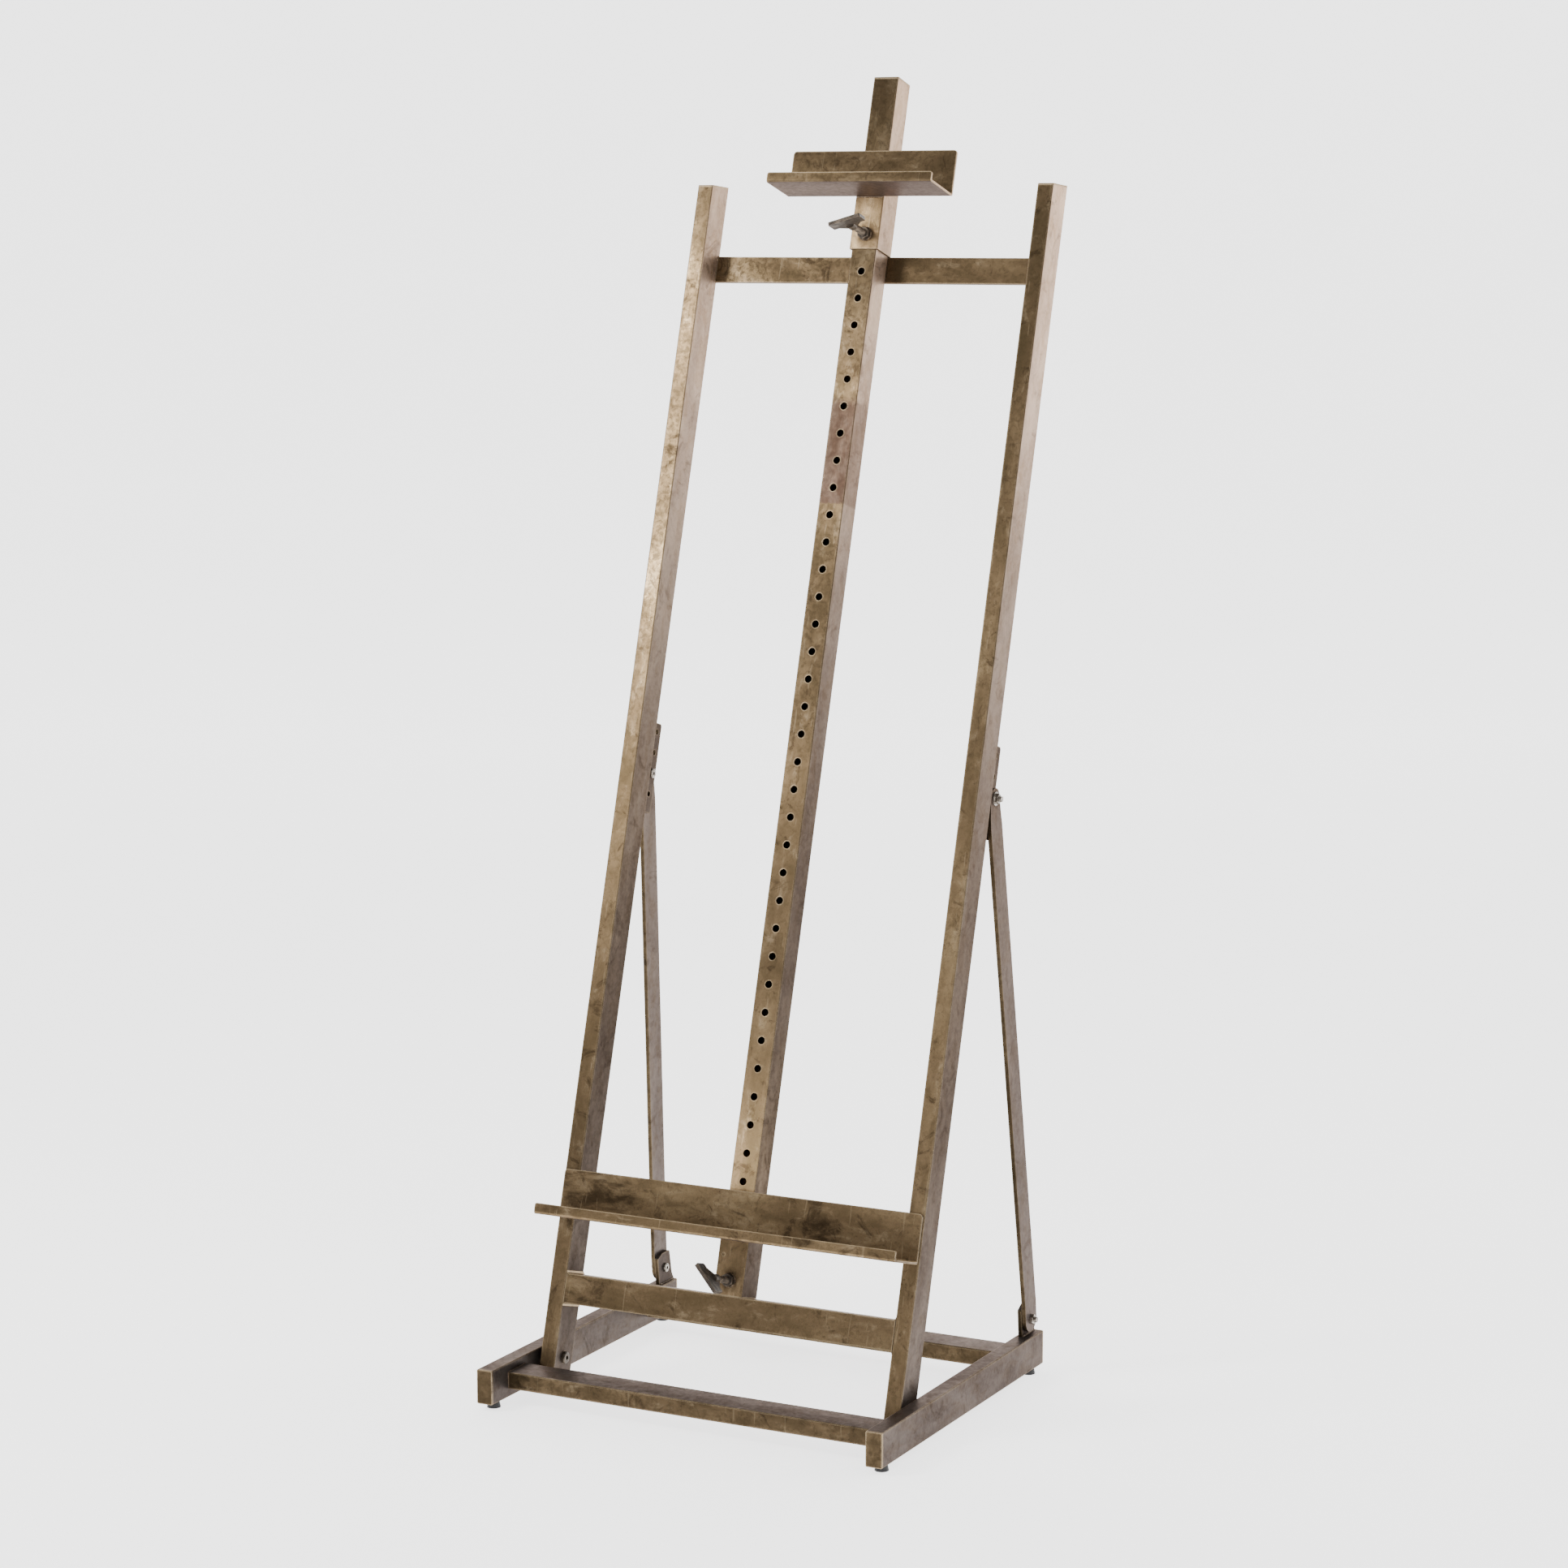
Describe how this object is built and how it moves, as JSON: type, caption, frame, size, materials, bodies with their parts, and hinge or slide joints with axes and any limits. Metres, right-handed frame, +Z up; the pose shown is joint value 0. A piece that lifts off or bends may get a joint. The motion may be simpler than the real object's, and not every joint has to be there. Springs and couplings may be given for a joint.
{
  "type": "studio easel",
  "caption": "Metal H-frame studio easel with a rectangular base, tilting frame on bolted back struts, sliding canvas tray and top ledge with clamp screws.",
  "frame": {"origin": "centre of the bounding box's footprint, on the floor", "axes": "+X to the right of someone facing the easel, +Y to the back, +Z up"},
  "size_m": [0.6412, 0.6997, 1.8769],
  "materials": {
    "antiqued_brass_tube": "mottled antique patina, satin",
    "antiqued_brass_sheet": "mottled antique patina, satin",
    "steel_fastener": "plated, slightly worn",
    "dark_steel": "dark gunmetal patina",
    "black_plastic": "matte black"
  },
  "bodies": {
    "base": {"left_base_rail": "antiqued_brass_tube", "right_base_rail": "antiqued_brass_tube", "rail_end_caps": "antiqued_brass_tube", "front_crossbar": "antiqued_brass_tube", "rear_crossbar": "antiqued_brass_tube", "left_strut_lug": "antiqued_brass_tube", "right_strut_lug": "antiqued_brass_tube", "foot_inserts": "steel_fastener", "front_left_foot": "black_plastic", "front_right_foot": "black_plastic", "rear_left_foot": "black_plastic", "rear_right_foot": "black_plastic", "frame_pivot_bolts": "steel_fastener", "frame_pivot_spacers": "steel_fastener", "frame_pivot_inserts": "steel_fastener", "strut_base_bolts": "steel_fastener", "strut_base_nuts": "steel_fastener"},
    "frame": {"left_upright": "antiqued_brass_tube", "right_upright": "antiqued_brass_tube", "upright_top_caps": "antiqued_brass_tube", "upright_end_plugs": "antiqued_brass_tube", "pivot_bushes": "steel_fastener", "lower_crossbar": "antiqued_brass_tube", "upper_crossbar": "antiqued_brass_tube", "mast": "antiqued_brass_tube", "mast_cap": "antiqued_brass_tube", "left_tilt_plate": "antiqued_brass_tube", "right_tilt_plate": "antiqued_brass_tube"},
    "left_strut": {"left_strut": "antiqued_brass_tube", "left_strut_top_bolt": "steel_fastener", "left_strut_top_nut": "steel_fastener", "left_strut_top_washer": "steel_fastener"},
    "right_strut": {"right_strut": "antiqued_brass_tube", "right_strut_top_bolt": "steel_fastener", "right_strut_top_nut": "steel_fastener", "right_strut_top_washer": "steel_fastener"},
    "tray": {"tray_shelf": "antiqued_brass_sheet", "tray_sleeve": "antiqued_brass_sheet", "tray_clamp_nut": "dark_steel"},
    "tray_clamp_screw": {"tray_clamp_stud": "dark_steel"},
    "tray_clamp_handle": {"tray_clamp_bar": "dark_steel"},
    "top_holder": {"top_ledge": "antiqued_brass_sheet", "top_sleeve": "antiqued_brass_sheet", "top_clamp_nut": "dark_steel"},
    "top_clamp_screw": {"top_clamp_stud": "dark_steel"},
    "top_clamp_handle": {"top_clamp_bar": "dark_steel"}
  },
  "joints": [
    {"name": "frame_tilt", "type": "hinge", "parent": "base", "child": "frame", "pos_m": [0, -0.20203, 0.0454], "axis": [-1, 0, 0], "range_deg": [-4.44, 9]},
    {"name": "left_strut_swing", "type": "hinge", "parent": "base", "child": "left_strut", "pos_m": [0, 0.16557, 0.0835], "axis": [-1, 0, 0], "range_deg": [-5.5, 11.1]},
    {"name": "right_strut_swing", "type": "hinge", "parent": "base", "child": "right_strut", "pos_m": [0, 0.16557, 0.0835], "axis": [-1, 0, 0], "range_deg": [-5.5, 11.1]},
    {"name": "tray_slide", "type": "slide", "parent": "frame", "child": "tray", "axis": [0, 0.2807, 0.9598], "range_m": [0, 1.3266]},
    {"name": "tray_clamp_travel", "type": "slide", "parent": "tray", "child": "tray_clamp_screw", "axis": [0, -0.9598, 0.2807], "range_m": [0, 0.0035]},
    {"name": "tray_clamp_turn", "type": "hinge", "parent": "tray_clamp_screw", "child": "tray_clamp_handle", "pos_m": [0, -0.21471, 0.198], "axis": [0, -0.9598, 0.2807], "range_deg": [0, 723]},
    {"name": "ledge_slide", "type": "slide", "parent": "frame", "child": "top_holder", "axis": [0, 0.2807, 0.9598], "range_m": [0, 0.18]},
    {"name": "top_clamp_travel", "type": "slide", "parent": "top_holder", "child": "top_clamp_screw", "axis": [0, -0.9598, 0.2807], "range_m": [0, 0.0035]},
    {"name": "top_clamp_turn", "type": "hinge", "parent": "top_clamp_screw", "child": "top_clamp_handle", "pos_m": [0, 0.21224, 1.65806], "axis": [0, -0.9598, 0.2807], "range_deg": [0, 723]}
  ],
  "couplings": [
    {"joint": "left_strut_swing", "follows": "frame_tilt", "ratio": 1.215},
    {"joint": "right_strut_swing", "follows": "frame_tilt", "ratio": 1.215},
    {"joint": "tray_clamp_turn", "follows": "tray_clamp_travel", "rad_per_m": 3590.4},
    {"joint": "top_clamp_turn", "follows": "top_clamp_travel", "rad_per_m": 3590.4}
  ]
}
